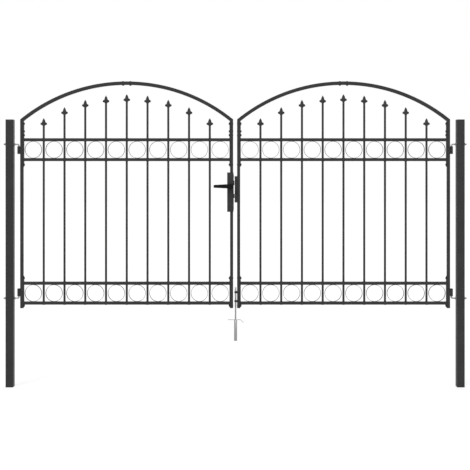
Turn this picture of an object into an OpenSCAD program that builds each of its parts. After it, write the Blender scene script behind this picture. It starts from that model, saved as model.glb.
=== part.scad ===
// Double-leaf garden fence gate with arched tops, spear-headed bars and ring bands.
// The origin is the centre of the left post's foot, X runs to the right post, Y runs away
// from the front and Z is up. All sizes are millimetres.

/* [Posts] */
// Distance between the centre lines of the two posts
post_spacing = 2950; // [2400:10:3600]
// Height of the top of a post above the joint between the stile and the arch
post_rise = 52; // [20:1:300]
// Side of the square post tube
post_w = 50; // [40:1:80]
// Wall of the post tube
post_wall = 2; // [1.5:0.5:4]
// Outer corner radius of the post tube
post_corner = 4; // [3:0.5:8]
// Thickness of the flange of a post cap or foot plug
cap_flange = 4; // [2:0.5:8]
// Length of the tongue that a cap or plug pushes into its tube
cap_tongue = 20; // [10:1:40]
// Gap between a tongue or spigot and the tube around it
tongue_fit = 0.2; // [0.1:0.05:0.5]

/* [Leaf frame] */
// Side of the square tube of the stiles, which is also the depth of the arch tube
tube_w = 20; // [16:1:24]
// Wall of the stile and arch tube
tube_wall = 1.5; // [1:0.25:2.5]
// Outer corner radius of the stile tube
tube_corner = 2.5; // [2.5:0.25:4]
// Clear gap from a post to the stile beside it
post_to_stile = 42.4; // [38:0.2:60]
// Clear gap between the two stiles that meet in the middle
meeting_gap = 26; // [24:1:36]
// Height of the stile bottoms above the post feet
leaf_bottom = 515; // [400:5:620]
// Height of the top of the arch
arch_top = 2000; // [1660:5:2400]
// Radius of the arch, to the middle of its tube
arch_radius = 1092; // [900:1:1300]
// Height of the arch tube, seen from the front
arch_w = 22.5; // [20:0.5:28]
// Length of the arch's leg, from the joint with the stile to the middle of the arch's corner
arch_leg = 47.4; // [44:0.1:70]
// Length of the spigot on each side of a tube joint
spigot_len = 40; // [30:1:60]
// Wall of the spigot
spigot_wall = 2; // [1.5:0.25:3]
// Thickness of the flange of a stile plug
plug_flange = 3; // [2:0.5:5]
// Length of the tongue of a stile plug
plug_tongue = 15; // [10:1:30]

/* [Infill] */
// Distance from the joint of stile and arch down to the middle of the top rail
top_rail_drop = 80; // [65:1:100]
// Height of the middle of the bottom rail above the stile bottoms
bottom_rail_rise = 33; // [30:1:60]
// Distance between the middles of the two rails of a band
band_h = 130; // [110:1:135]
// Side of the square rails
rail_w = 20; // [18:1:24]
// Outer corner radius of the rails
rail_corner = 1.5; // [1:0.25:2]
// Number of round bars in a leaf
bar_count = 9; // [7:1:9]
// Diameter of the round bars
bar_d = 14; // [10:1:16]
// Wall of the rings
ring_wall = 2; // [1.5:0.5:4]
// Depth of the rings from front to back
ring_depth = 12; // [8:1:16]
// Depth to which a ring's weld sinks it into its rails
ring_sink = 0.4; // [0.2:0.1:1]
// Thickness of the end plates that bolt to the stiles
end_plate_t = 4; // [2:0.5:5]
// Reach of an end plate from its band towards the middle of the leaf
end_plate_reach = 37; // [20:1:40]
// Gap between the upper end plates and the underside of the arch
end_plate_gap = 2; // [1:0.5:20]
// Reach of the lower end plate below the bottom rail
end_plate_foot = 18; // [10:1:22]
// Gap between the spear tips and the underside of the arch
spear_gap = 60.5; // [40:0.5:80]
// Height of a spear head
spear_h = 52; // [48:1:60]
// Width of a spear head across its two round ears
spear_w = 44; // [40:1:50]
// Distance from a spear tip down to the middle of its ears
spear_ear_drop = 37; // [32:1:38]
// Diameter of the round ears
spear_ear_d = 16; // [12:0.5:18]
// Thickness of the ears from front to back
spear_ear_t = 7; // [4:0.5:9]
// Height of the web that joins the ears to the middle
spear_web_h = 30; // [22:1:30]
// Width of the blade above the ears
spear_blade_w = 20.4; // [16:0.2:22]
// Distance from a spear tip down to the blade's widest place
spear_blade_h = 25; // [18:1:29]
// Thickness of a spear head at its tip
spear_tip_t = 4; // [2:0.5:6]

/* [Hinges] */
// Diameter of the hook rod and its pin
pin_d = 10; // [8:0.5:12]
// Gap around the pin in its barrel
pin_fit = 0.3; // [0.2:0.05:0.5]
// Gap around the rod in the post
hook_fit = 0.25; // [0.1:0.05:0.5]
// Outer diameter of a hinge barrel
barrel_d = 20; // [18:0.5:24]
// Length of a hinge barrel
barrel_h = 50; // [40:1:70]
// Distance from the middle of the top rail down to the lower end of the upper barrel
upper_barrel_drop = 93; // [70:1:130]
// Distance from the middle of the bottom rail up to the lower end of the lower barrel
lower_barrel_rise = 45; // [35:1:90]
// Width of the weld that joins a barrel to its stile
barrel_weld_w = 8; // [6:0.5:12]
// Radius of the hook's bend, to the middle of the rod
hook_bend_r = 10; // [8:0.5:12]
// Free play between a barrel and the bend of its hook
hook_play = 3.5; // [0.5:0.1:6]
// Length by which the pin stops short of the barrel's far end
pin_short = 3; // [1:0.5:6]
// Length of the rod beyond the outer face of the post
hook_tail = 17; // [8:1:30]
// Chamfer on the ends of the rod and the pin
pin_ease = 1; // [0.5:0.25:2]

/* [Lock] */
// Distance from the lower rail of the upper band, at its middle, down to the lock case
lock_drop = 84; // [60:1:200]
// Height of the lock case
lock_h = 258; // [250:1:280]
// Width of the lock case along the gate, with its face plate
lock_w = 43; // [42:1:60]
// Depth of the lock case from front to back
lock_d = 40; // [36:1:50]
// Wall of the lock case
lock_wall = 2; // [1.5:0.5:2.5]
// Outer radius of the two upright edges at the back of the lock case
lock_corner = 3; // [3:0.5:6]
// Thickness of the face plate
face_plate_t = 3; // [2:0.5:4]
// Thickness of the face plate at its tapered ends
face_plate_end_t = 0.8; // [0.5:0.1:1.5]
// Length of the taper at each end of the face plate
face_plate_taper = 18; // [8:1:24]
// Distance by which the face plate stands proud of the stile
lock_proud = 4; // [3:0.5:6]
// Distance from the face plate to the lever's axis
lever_backset = 18; // [17.5:0.5:24]
// Height of the lever's axis above the bottom of the lock case
lever_rise = 167; // [160:1:172]
// Distance from the face plate to the key cylinder's axis
key_backset = 25; // [20:0.5:30]
// Height of the key cylinder's axis above the bottom of the lock case
key_rise = 60; // [50:1:64]
// Diameter of the round part of the key cylinder
key_d = 17; // [15:0.5:18]
// Width of the flat part of the key cylinder
key_flat_w = 10; // [8:0.5:12]
// Height of the key cylinder over both parts
key_h = 33; // [30:1:36]
// Distance by which the key cylinder stands out of the case
key_proud = 3; // [1:0.5:6]
// Gap around the key cylinder in the case
key_fit = 0.2; // [0.1:0.05:0.5]

/* [Latch and dead bolt] */
// Height of the latch bolt
latch_h = 30; // [20:1:32]
// Distance from the lever's axis up to the underside of the latch bolt
latch_rise = 7; // [6:0.5:11]
// Length by which the latch bolt stands out of the face plate
latch_out = 4; // [3:0.5:5]
// Length of the latch bolt
latch_len = 28; // [22:1:30]
// Height of the dead bolt
dead_h = 27; // [20:1:30]
// Height of the middle of the dead bolt above the key cylinder's axis
dead_rise = 44; // [40:1:50]
// Gap between the resting dead bolt and the strike
dead_gap = 1; // [0.6:0.1:2]
// Length of the dead bolt
dead_len = 34; // [30:1:36]
// Thickness of both bolts from front to back
bolt_t = 12; // [8:0.5:12.5]
// Gap around a bolt in the face plate
bolt_fit = 0.3; // [0.2:0.05:0.5]

/* [Lever] */
// Diameter of the roses
rose_d = 34; // [30:1:35]
// Thickness of the roses
rose_t = 6; // [4:0.5:10]
// Radius of the rounded rim of the roses
rose_rim = 2.5; // [1:0.5:3.5]
// Diameter of the lever's neck
neck_d = 16; // [14:0.5:20]
// Gap around the neck in its rose
neck_fit = 0.3; // [0.2:0.05:0.5]
// Length of the lever from its axis to its tip
lever_len = 113; // [90:1:130]
// Height of the lever at its axis
lever_root_h = 29; // [20:1:32]
// Height of the lever at its tip
lever_tip_h = 18; // [14:1:20]
// Radius of the rounded rim at the lever's tip
lever_tip_round = 5; // [2:0.5:7]
// Thickness of the lever's grip
lever_t = 12; // [8:0.5:16]
// Distance from the lock case to the outer face of the grip
lever_stand = 46; // [36:1:60]
// Side of the square spindle
spindle_w = 8; // [7:0.5:9]
// Length of the spindle inside each lever
spindle_grip = 22; // [12:1:26]
// Gap around the spindle in a lever
spindle_fit = 0.1; // [0.05:0.05:0.2]

/* [Strike] */
// Length of the strike below the window of the dead bolt
strike_foot = 27.5; // [10:0.5:50]
// Length of the strike above the window of the latch bolt
strike_head = 27.5; // [10:0.5:50]
// Wall of the strike
strike_wall = 2; // [1.5:0.5:3]
// Gap between the face plate and the strike
strike_gap = 6; // [5:0.5:8]
// Gap around a bolt in its window of the strike
window_fit = 2; // [1:0.5:4]

/* [Drop bolt] */
// Diameter of the drop rod
drop_d = 10; // [8:0.5:12]
// Gap around the rod in its guides
drop_fit = 0.3; // [0.2:0.05:0.5]
// Distance from the stile to the axis of the rod
drop_offset = 10; // [9:0.5:14]
// Gap between the upper guide and the bend of the resting rod
handle_gap = 11; // [11:0.5:60]
// Length of the handle behind the rod's axis
handle_len = 48; // [30:1:70]
// Radius of the handle's bend, to the middle of the rod
handle_bend_r = 8; // [7:0.5:10]
// Wall of the guides
guide_wall = 2.5; // [2:0.25:4]
// Height of a guide
guide_h = 14; // [10:1:20]
// Height of the middle of the upper guide above the middle of the bottom rail
upper_guide_rise = 71; // [50:1:120]
// Distance between the middles of the two guides
guide_pitch = 59; // [30:1:90]
// Gap between the resting rod's tip and the ground sleeve
tip_gap = 1.5; // [1:0.5:4]
// Chamfer on the tip of the rod
drop_point = 2.5; // [1:0.5:3]
// Chamfer on the end of the handle
handle_ease = 1; // [0.5:0.25:2]

/* [Ground sleeve] */
// Distance from the stile bottoms down to the mouth of the ground sleeve
sleeve_drop = 74; // [20:1:120]
// Length of the ground sleeve
sleeve_len = 140; // [80:1:200]
// Outer diameter of the ground sleeve
sleeve_od = 20; // [18:0.5:30]
// Wall of the ground sleeve
sleeve_wall = 2; // [1.5:0.25:2.5]
// Thickness of the anchor strips
anchor_t = 4; // [3:0.5:6]
// Width of the anchor strips from front to back
anchor_w = 12; // [8:0.5:16]
// Reach of the straight anchor from the sleeve's axis
anchor_reach = 50; // [30:1:80]
// Reach of the level part of the bent anchor from the sleeve's axis
anchor_level = 32; // [20:1:50]
// Length of the slanting part of the bent anchor
anchor_slant = 28; // [15:1:50]
// Slope of the slanting part of the bent anchor, in degrees
anchor_slope = 45; // [30:1:70]

/* [Hidden] */

coat_black = "#2e2f31";
cap_black = "#232425";
lever_black = "#1b1b1c";
zinc = "#a9abac";
bolt_black = "#333436";
cylinder_black = "#2c2d2f";

round_fn = 64;
arc_fn = 720;
cut = 1;
blade_steps = 5;
end_steps = 6;

gate_mid = post_spacing / 2;
outer_x = post_w / 2 + post_to_stile + tube_w / 2;
inner_x = gate_mid - meeting_gap / 2 - tube_w / 2;
leaf_mid = (outer_x + inner_x) / 2;
half_span = (inner_x - outer_x) / 2;
left_meet_x = gate_mid - meeting_gap / 2;
right_meet_x = gate_mid + meeting_gap / 2;

tube_bore = tube_w - 2 * tube_wall;
arch_bore = arch_w - 2 * tube_wall;
arch_mid_z = arch_top - arch_w / 2 - arch_radius;
arch_corner_z = arch_mid_z + sqrt(arch_radius * arch_radius - half_span * half_span);
// The stiles are cut to a whole millimetre.
arch_joint_z = round(arch_corner_z - arch_leg);
stile_z = leaf_bottom + plug_flange;
post_h = arch_joint_z + post_rise;

panel_x = outer_x + tube_w / 2;
panel_w = inner_x - outer_x - tube_w;
arch_inner_r = arch_radius - arch_w / 2;
arch_inner_corner_z = arch_mid_z + sqrt(arch_inner_r * arch_inner_r - panel_w * panel_w / 4);
bar_gap = (panel_w - 2 * end_plate_t - bar_count * bar_d) / (bar_count + 1);
bar_pitch = bar_gap + bar_d;
top_rail_z = arch_joint_z - top_rail_drop;
bottom_rail_z = leaf_bottom + bottom_rail_rise;
upper_band_z = top_rail_z - band_h / 2;
lower_band_z = bottom_rail_z + band_h / 2;
spear_arc_r = arch_inner_r - spear_gap;
ring_od = band_h - rail_w + 2 * ring_sink;

hinge_x = outer_x - tube_w / 2 - barrel_d / 2;
upper_barrel_z = top_rail_z - upper_barrel_drop;
lower_barrel_z = bottom_rail_z + lower_barrel_rise;
hook_rise = hook_play + hook_bend_r;
upper_hook_z = upper_barrel_z + barrel_h + hook_rise;
lower_hook_z = lower_barrel_z - hook_rise;

lock_face_x = left_meet_x + lock_proud;
lock_x = lock_face_x - lock_w;
lock_z = top_rail_z - band_h - lock_drop - lock_h;
lever_x = lock_face_x - lever_backset;
lever_z = lock_z + lever_rise;
key_x = lock_face_x - key_backset;
key_z = lock_z + key_rise;
latch_z = lever_z + latch_rise + latch_h / 2;
dead_z = key_z + dead_rise;
neck_hole_d = neck_d + 2 * neck_fit;

strike_x = lock_face_x + strike_gap;
strike_w = right_meet_x - strike_x;
strike_d = bolt_t + 2 * window_fit + 2 * strike_wall;
strike_z = dead_z - dead_h / 2 - window_fit - strike_foot;
strike_h = latch_z + latch_h / 2 + window_fit + strike_head - strike_z;

drop_x = right_meet_x - drop_offset;
guide_d = drop_d + 2 * drop_fit + 2 * guide_wall;
upper_guide_z = bottom_rail_z + upper_guide_rise;
lower_guide_z = upper_guide_z - guide_pitch;
bend_z = upper_guide_z + guide_h / 2 + handle_gap;
sleeve_top = leaf_bottom - sleeve_drop;
drop_tip_z = sleeve_top + tip_gap;

// Repeats its children mirrored to the other side of the gate.
module other_side() {
    translate([2 * gate_mid, 0, 0])
        mirror([1, 0, 0])
            children();
}

// Square with rounded corners, centred on the origin.
module rounded_square(side, corner) {
    flat = side - 2 * corner;
    square([side, flat], center = true);
    square([flat, side], center = true);
    for (x = [-1, 1], y = [-1, 1])
        translate([x * flat / 2, y * flat / 2])
            circle(r = corner, $fn = round_fn);
}

// Upright square tube that stands on the XY plane.
module square_tube(side, wall, corner, height) {
    linear_extrude(height)
        difference() {
            rounded_square(side, corner);
            rounded_square(side - 2 * wall, corner - wall);
        }
}

// Cap for a square tube: a flange below and a tongue that stands up inside the tube.
module tube_plug(side, wall, corner, flange, tongue) {
    linear_extrude(flange)
        rounded_square(side, corner);
    inner = side - 2 * wall - 2 * tongue_fit;
    linear_extrude(flange + tongue)
        rounded_square(inner, corner - wall);
}

// Lays an outline that is drawn from the front through a depth along Y, centred on Y = 0.
module through(depth) {
    translate([0, depth / 2, 0])
        rotate([90, 0, 0])
            linear_extrude(depth)
                children();
}

// Upright round rod on the XY plane with a chamfer at its upper end.
module eased_rod(d, height, ease) {
    cylinder(d = d, h = height - ease, $fn = round_fn);
    translate([0, 0, height - ease])
        cylinder(d1 = d, d2 = d - 2 * ease, h = ease, $fn = round_fn);
}

// Post tube with the holes for its two hinge hooks.
module post() {
    difference() {
        translate([0, 0, cap_flange])
            square_tube(post_w, post_wall, post_corner, post_h - 2 * cap_flange);
        for (z = [lower_hook_z, upper_hook_z])
            translate([-post_w / 2 - cut, 0, z])
                rotate([0, 90, 0])
                    cylinder(d = pin_d + 2 * hook_fit, h = post_w + 2 * cut, $fn = round_fn);
    }
}

module post_plug() {
    tube_plug(post_w, post_wall, post_corner, cap_flange, cap_tongue);
}

module post_cap() {
    translate([0, 0, post_h])
        mirror([0, 0, 1])
            post_plug();
}

// Hook whose rod lies along X at height zero and whose pin stands up on the hinge axis.
module hook() {
    rod_start = -post_w / 2 - hook_tail;
    rod_end = hinge_x - hook_bend_r;
    translate([rod_end, 0, 0])
        rotate([0, -90, 0])
            eased_rod(pin_d, rod_end - rod_start, pin_ease);
    translate([rod_end, 0, hook_bend_r])
        rotate([90, 0, 0])
            rotate([0, 0, -90])
                rotate_extrude(angle = 90, $fn = round_fn)
                    translate([hook_bend_r, 0])
                        circle(d = pin_d, $fn = round_fn);
    translate([hinge_x, 0, hook_bend_r])
        eased_rod(pin_d, hook_play + barrel_h - pin_short, pin_ease);
}

module upper_hook() {
    translate([0, 0, upper_hook_z])
        mirror([0, 0, 1])
            hook();
}

module lower_hook() {
    translate([0, 0, lower_hook_z])
        hook();
}

// Hinge barrel with the weld that joins it to the outer face of its stile.
module barrel(z) {
    translate([hinge_x, 0, z])
        difference() {
            union() {
                cylinder(d = barrel_d, h = barrel_h, $fn = round_fn);
                translate([0, -barrel_weld_w / 2, 0])
                    cube([barrel_d / 2, barrel_weld_w, barrel_h]);
            }
            translate([0, 0, -cut])
                cylinder(d = pin_d + 2 * pin_fit, h = barrel_h + 2 * cut, $fn = round_fn);
        }
}

module stile(x, z_low, z_high) {
    translate([x, 0, z_low])
        square_tube(tube_w, tube_wall, tube_corner, z_high - z_low);
}

module stile_plugs() {
    for (x = [outer_x, inner_x])
        translate([x, 0, leaf_bottom])
            tube_plug(tube_w, tube_wall, tube_corner, plug_flange, plug_tongue);
}

// Band along the arch between two places left and right of its middle, seen from the front.
module arch_band(band, x_from, x_to) {
    intersection() {
        difference() {
            circle(r = arch_radius + band / 2, $fn = arc_fn);
            circle(r = arch_radius - band / 2, $fn = arc_fn);
        }
        translate([x_from, 0])
            square([x_to - x_from, arch_radius + band]);
    }
}

// Outline of the left half of an arch up to x_end, with its leg lengthened by extra.
module arch_outline(band, leg_w, extra, x_end) {
    leg_x = -half_span - leg_w / 2;
    arch_band(band, leg_x, x_end);
    intersection() {
        circle(r = arch_radius + band / 2, $fn = arc_fn);
        translate([leg_x, arch_joint_z - arch_mid_z - extra])
            square([leg_w, arch_radius]);
    }
}

// Square spigot tube: a tight half that stands up from the XY plane and a free half below it.
module spigot() {
    inner = tube_bore - 2 * tongue_fit;
    difference() {
        union() {
            linear_extrude(spigot_len)
                square(tube_bore, center = true);
            translate([0, 0, -spigot_len])
                linear_extrude(2 * spigot_len)
                    square(inner, center = true);
        }
        translate([0, 0, -spigot_len - cut])
            linear_extrude(2 * spigot_len + 2 * cut)
                square(inner - 2 * spigot_wall, center = true);
    }
}

// Hollow half arch, bored up to bore_end, with the spigot that its leg pushes into the stile.
module arch_half(bore_end) {
    translate([leaf_mid, 0, arch_mid_z])
        difference() {
            through(tube_w)
                arch_outline(arch_w, tube_w, 0, 0);
            through(tube_bore)
                arch_outline(arch_bore, tube_bore, cut, bore_end);
        }
    translate([outer_x, 0, arch_joint_z])
        spigot();
}

// The outer half is closed at the top of the arch by a plug, whose tongue enters the inner half.
module outer_arch_half() {
    arch_half(-spigot_len);
    translate([leaf_mid, 0, arch_mid_z])
        through(tube_bore - 2 * tongue_fit)
            arch_band(arch_bore - 2 * tongue_fit, -spigot_len / 2, spigot_len);
}

module inner_arch_half() {
    translate([2 * leaf_mid, 0, 0])
        mirror([1, 0, 0])
            arch_half(cut);
}

// Half width of a blade at a share t of the way from its tip to its widest place.
function blade_flank(t) = spear_blade_w / 2 * sin(90 * t);

// Outline of the blade and the shank below it, seen from the front.
module blade_outline() {
    steps = [for (i = [0 : blade_steps]) i / blade_steps];
    right = [for (t = steps) [blade_flank(t), spear_h - spear_blade_h * t]];
    left = [for (i = [blade_steps : -1 : 1]) [-right[i][0], right[i][1]]];
    shank = [[bar_d / 2, 0], [-bar_d / 2, 0]];
    polygon(concat(right, shank, left));
}

// Outline of the two ears and the web between them, seen from the front.
module ear_outline() {
    ear_x = spear_w / 2 - spear_ear_d / 2;
    ear_z = spear_h - spear_ear_drop;
    web = spear_web_h / 2;
    polygon([[ear_x, ear_z], [0, ear_z + web], [-ear_x, ear_z], [0, ear_z - web]]);
    for (side = [-1, 1])
        translate([side * ear_x, ear_z])
            circle(d = spear_ear_d, $fn = round_fn);
}

// Spear head on a bar, from the bar's end up to the tip, thinner towards the tip.
module spear_head() {
    taper_z = spear_h - spear_ear_drop;
    intersection() {
        through(2 * bar_d)
            blade_outline();
        translate([-spear_blade_w, 0, 0])
            rotate([90, 0, 90])
                linear_extrude(2 * spear_blade_w)
                    polygon([
                        [-bar_d / 2, 0],
                        [bar_d / 2, 0],
                        [bar_d / 2, taper_z],
                        [spear_tip_t / 2, spear_h],
                        [-spear_tip_t / 2, spear_h],
                        [-bar_d / 2, taper_z]
                    ]);
    }
    through(spear_ear_t)
        ear_outline();
}

// Round bar from the bottom rail to its spear tip, which follows the arch.
module spear_bar(x) {
    from_mid = x - leaf_mid;
    tip_z = arch_mid_z + sqrt(spear_arc_r * spear_arc_r - from_mid * from_mid);
    head_z = tip_z - spear_h;
    foot_z = bottom_rail_z - rail_w / 2;
    translate([x, 0, head_z]) {
        spear_head();
        mirror([0, 0, 1])
            cylinder(d = bar_d, h = head_z - foot_z, $fn = round_fn);
    }
}

// Ring that is welded between the two rails of a band.
module ring(x, z) {
    translate([x, ring_depth / 2, z])
        rotate([90, 0, 0])
            difference() {
                cylinder(d = ring_od, h = ring_depth, $fn = round_fn);
                translate([0, 0, -cut])
                    cylinder(d = ring_od - 2 * ring_wall, h = ring_depth + 2 * cut, $fn = round_fn);
            }
}

module rail(z) {
    translate([panel_x, 0, z])
        rotate([90, 0, 90])
            linear_extrude(panel_w)
                rounded_square(rail_w, rail_corner);
}

module end_plates(z_low, z_high) {
    for (x = [panel_x, panel_x + panel_w - end_plate_t])
        translate([x, -rail_w / 2, z_low])
            cube([end_plate_t, rail_w, z_high - z_low]);
}

// Welded infill of a leaf: rails, bars, rings and the end plates that bolt to the stiles.
module infill_panel() {
    rail_reach = band_h / 2 + rail_w / 2;
    plate_reach = rail_reach + end_plate_reach;
    for (z = [upper_band_z, lower_band_z]) {
        rail(z - band_h / 2);
        rail(z + band_h / 2);
        for (i = [0 : bar_count])
            ring(panel_x + end_plate_t + bar_gap / 2 + i * bar_pitch, z);
    }
    for (i = [1 : bar_count])
        spear_bar(panel_x + end_plate_t - bar_d / 2 + i * bar_pitch);
    end_plates(upper_band_z - plate_reach, arch_inner_corner_z - end_plate_gap);
    end_plates(lower_band_z - rail_reach - end_plate_foot, lower_band_z + plate_reach);
}

// Outline of the key cylinder, seen from the front about its axis.
module key_outline(grow) {
    circle(d = key_d + 2 * grow, $fn = round_fn);
    translate([-key_flat_w / 2 - grow, key_d / 2 - key_h - grow])
        square([key_flat_w + 2 * grow, key_h - key_d / 2 + grow]);
}

// Plan of the lock case: two rounded corners at X = 0 and a square open side.
module case_plan(width, depth, corner) {
    translate([corner, -depth / 2])
        square([width - corner, depth]);
    translate([0, corner - depth / 2])
        square([width, depth - 2 * corner]);
    for (side = [-1, 1])
        translate([corner, side * (depth / 2 - corner)])
            circle(r = corner, $fn = round_fn);
}

module case_box() {
    box_w = lock_w - face_plate_t;
    difference() {
        translate([lock_x, 0, lock_z])
            linear_extrude(lock_h)
                case_plan(box_w, lock_d, lock_corner);
        translate([lock_x + lock_wall, 0, lock_z + lock_wall])
            linear_extrude(lock_h - 2 * lock_wall)
                case_plan(box_w, lock_d - 2 * lock_wall, lock_corner - lock_wall);
        translate([lever_x, 0, lever_z])
            through(lock_d + 2 * cut)
                circle(d = neck_hole_d, $fn = round_fn);
        translate([key_x, 0, key_z])
            through(lock_d + 2 * cut)
                key_outline(key_fit);
    }
}

// Hole for a bolt of the given height through a plate that starts at x.
module bolt_window(x, plate_t, z, height, gap_y, gap_z) {
    translate([x - cut, -bolt_t / 2 - gap_y, z - height / 2 - gap_z])
        cube([plate_t + 2 * cut, bolt_t + 2 * gap_y, height + 2 * gap_z]);
}

module face_plate() {
    x = lock_face_x - face_plate_t;
    difference() {
        translate([x, 0, lock_z])
            through(lock_d)
                polygon([
                    [0, 0],
                    [face_plate_end_t, 0],
                    [face_plate_t, face_plate_taper],
                    [face_plate_t, lock_h - face_plate_taper],
                    [face_plate_end_t, lock_h],
                    [0, lock_h]
                ]);
        bolt_window(x, face_plate_t, latch_z, latch_h, bolt_fit, bolt_fit);
        bolt_window(x, face_plate_t, dead_z, dead_h, bolt_fit, bolt_fit);
    }
}

module cylinder_lock() {
    translate([key_x, 0, key_z])
        through(lock_d + 2 * key_proud)
            key_outline(0);
}

// Half section of a rose, from its axis to its rounded rim.
module rose_profile() {
    square([rose_d / 2, rose_t - rose_rim]);
    square([rose_d / 2 - rose_rim, rose_t]);
    translate([rose_d / 2 - rose_rim, rose_t - rose_rim])
        circle(r = rose_rim, $fn = round_fn);
}

// Rose on the front of the lock case.
module rose() {
    translate([lever_x, -lock_d / 2, lever_z])
        rotate([90, 0, 0])
            difference() {
                rotate_extrude($fn = round_fn)
                    rose_profile();
                translate([0, 0, -cut])
                    cylinder(d = neck_hole_d, h = rose_t + 2 * cut, $fn = round_fn);
            }
}

// Points of a quarter circle about a middle that lies out from the turning axis, for a turned profile.
function quarter(mid, out, r, from) = [
    for (i = [0 : end_steps])
        let (a = from - 90 * i / end_steps)
            [out + r * sin(a), mid + r * cos(a)]
];

// Grip of a lever that points along -X: a tapered round bar with flattened front and back.
module lever_grip() {
    root = quarter(0, 0, lever_root_h / 2, 180);
    tip = quarter(lever_len - lever_tip_round, lever_tip_h / 2 - lever_tip_round, lever_tip_round, 90);
    intersection() {
        rotate([0, -90, 0])
            rotate_extrude($fn = round_fn)
                polygon(concat(root, tip, [[0, lever_len]]));
        cube([2 * lever_len + cut, lever_root_h + cut, lever_t], center = true);
    }
}

// Lever on the front: a neck that runs in the rose and a grip that stands clear of the case.
module lever() {
    grip_mid = lever_stand - lever_t / 2;
    translate([lever_x, -lock_d / 2, lever_z])
        rotate([90, 0, 0])
            difference() {
                union() {
                    cylinder(d = neck_d, h = grip_mid, $fn = round_fn);
                    translate([0, 0, grip_mid])
                        lever_grip();
                }
                translate([0, 0, -cut])
                    linear_extrude(spindle_grip + cut)
                        square(spindle_w + 2 * spindle_fit, center = true);
            }
}

module spindle() {
    translate([lever_x, 0, lever_z])
        through(lock_d + 2 * spindle_grip)
            square(spindle_w, center = true);
}

// Latch bolt with the bevel that lets the leaf push past the strike.
module latch() {
    nose_x = lock_face_x + latch_out;
    translate([nose_x, 0, latch_z - latch_h / 2])
        linear_extrude(latch_h)
            polygon([
                [-latch_len, -bolt_t / 2],
                [-latch_out, -bolt_t / 2],
                [0, bolt_t / 2 - latch_out],
                [0, bolt_t / 2],
                [-latch_len, bolt_t / 2]
            ]);
}

module dead() {
    translate([strike_x - dead_gap - dead_len, -bolt_t / 2, dead_z - dead_h / 2])
        cube([dead_len, bolt_t, dead_h]);
}

// Strike: a tray whose open back sits on the stile, with a window for each bolt.
module strike() {
    difference() {
        translate([strike_x, -strike_d / 2, strike_z])
            cube([strike_w, strike_d, strike_h]);
        translate([strike_x + strike_wall, -strike_d / 2 + strike_wall, strike_z + strike_wall])
            cube([strike_w, strike_d - 2 * strike_wall, strike_h - 2 * strike_wall]);
        bolt_window(strike_x, strike_wall, latch_z, latch_h, window_fit, window_fit);
        bolt_window(strike_x, strike_wall, dead_z, dead_h, window_fit, window_fit);
    }
}

// Guide eye for the drop rod, joined to the stile by a short block.
module guide(z) {
    translate([drop_x, 0, z - guide_h / 2])
        difference() {
            union() {
                cylinder(d = guide_d, h = guide_h, $fn = round_fn);
                translate([0, -guide_d / 2, 0])
                    cube([drop_offset, guide_d, guide_h]);
            }
            translate([0, 0, -cut])
                cylinder(d = drop_d + 2 * drop_fit, h = guide_h + 2 * cut, $fn = round_fn);
        }
}

// Drop rod with a handle that is bent to the back.
module drop_rod() {
    handle_z = bend_z + handle_bend_r;
    translate([drop_x, 0, bend_z])
        mirror([0, 0, 1])
            eased_rod(drop_d, bend_z - drop_tip_z, drop_point);
    translate([drop_x, handle_bend_r, bend_z])
        rotate([90, 0, 90])
            rotate([0, 0, 90])
                rotate_extrude(angle = 90, $fn = round_fn)
                    translate([handle_bend_r, 0])
                        circle(d = drop_d, $fn = round_fn);
    translate([drop_x, handle_bend_r, handle_z])
        rotate([-90, 0, 0])
            eased_rod(drop_d, handle_len - handle_bend_r, handle_ease);
}

// Ground sleeve with its two anchor strips, one straight and one bent down.
module sleeve() {
    slant_x = anchor_slant * cos(anchor_slope);
    slant_z = anchor_slant * sin(anchor_slope);
    difference() {
        union() {
            translate([0, 0, -sleeve_len])
                cylinder(d = sleeve_od, h = sleeve_len, $fn = round_fn);
            translate([-anchor_reach, -anchor_w / 2, -anchor_t])
                cube([anchor_reach, anchor_w, anchor_t]);
            through(anchor_w)
                polygon([
                    [0, 0],
                    [anchor_level, 0],
                    [anchor_level + slant_x, -slant_z],
                    [anchor_level + slant_x, -slant_z - anchor_t],
                    [anchor_level, -anchor_t],
                    [0, -anchor_t]
                ]);
        }
        translate([0, 0, -sleeve_len - cut])
            cylinder(d = sleeve_od - 2 * sleeve_wall, h = sleeve_len + 2 * cut, $fn = round_fn);
    }
}

module left_post() {
    color(coat_black) post();
}

module right_post() {
    color(coat_black) other_side() post();
}

module left_post_cap() {
    color(cap_black) post_cap();
}

module right_post_cap() {
    color(cap_black) other_side() post_cap();
}

module left_post_foot_plug() {
    color(cap_black) post_plug();
}

module right_post_foot_plug() {
    color(cap_black) other_side() post_plug();
}

module left_upper_hinge_hook() {
    color(zinc) upper_hook();
}

module left_lower_hinge_hook() {
    color(zinc) lower_hook();
}

module right_upper_hinge_hook() {
    color(zinc) other_side() upper_hook();
}

module right_lower_hinge_hook() {
    color(zinc) other_side() lower_hook();
}

module ground_sleeve() {
    color(zinc) translate([drop_x, 0, sleeve_top]) sleeve();
}

module left_outer_stile() {
    color(coat_black) stile(outer_x, stile_z, arch_joint_z);
}

module left_inner_stile_upper() {
    color(coat_black) stile(inner_x, lock_z + lock_h, arch_joint_z);
}

module left_inner_stile_lower() {
    color(coat_black) stile(inner_x, stile_z, lock_z);
}

module left_arch_outer_half() {
    color(coat_black) outer_arch_half();
}

module left_arch_inner_half() {
    color(coat_black) inner_arch_half();
}

module left_infill_panel() {
    color(coat_black) infill_panel();
}

module left_upper_hinge_barrel() {
    color(coat_black) barrel(upper_barrel_z);
}

module left_lower_hinge_barrel() {
    color(coat_black) barrel(lower_barrel_z);
}

module left_stile_plugs() {
    color(cap_black) stile_plugs();
}

module lock_case() {
    color(coat_black) case_box();
}

module lock_face_plate() {
    color(coat_black) face_plate();
}

module key_cylinder() {
    color(cylinder_black) cylinder_lock();
}

module front_rose() {
    color(lever_black) rose();
}

module back_rose() {
    color(lever_black) mirror([0, 1, 0]) rose();
}

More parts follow.
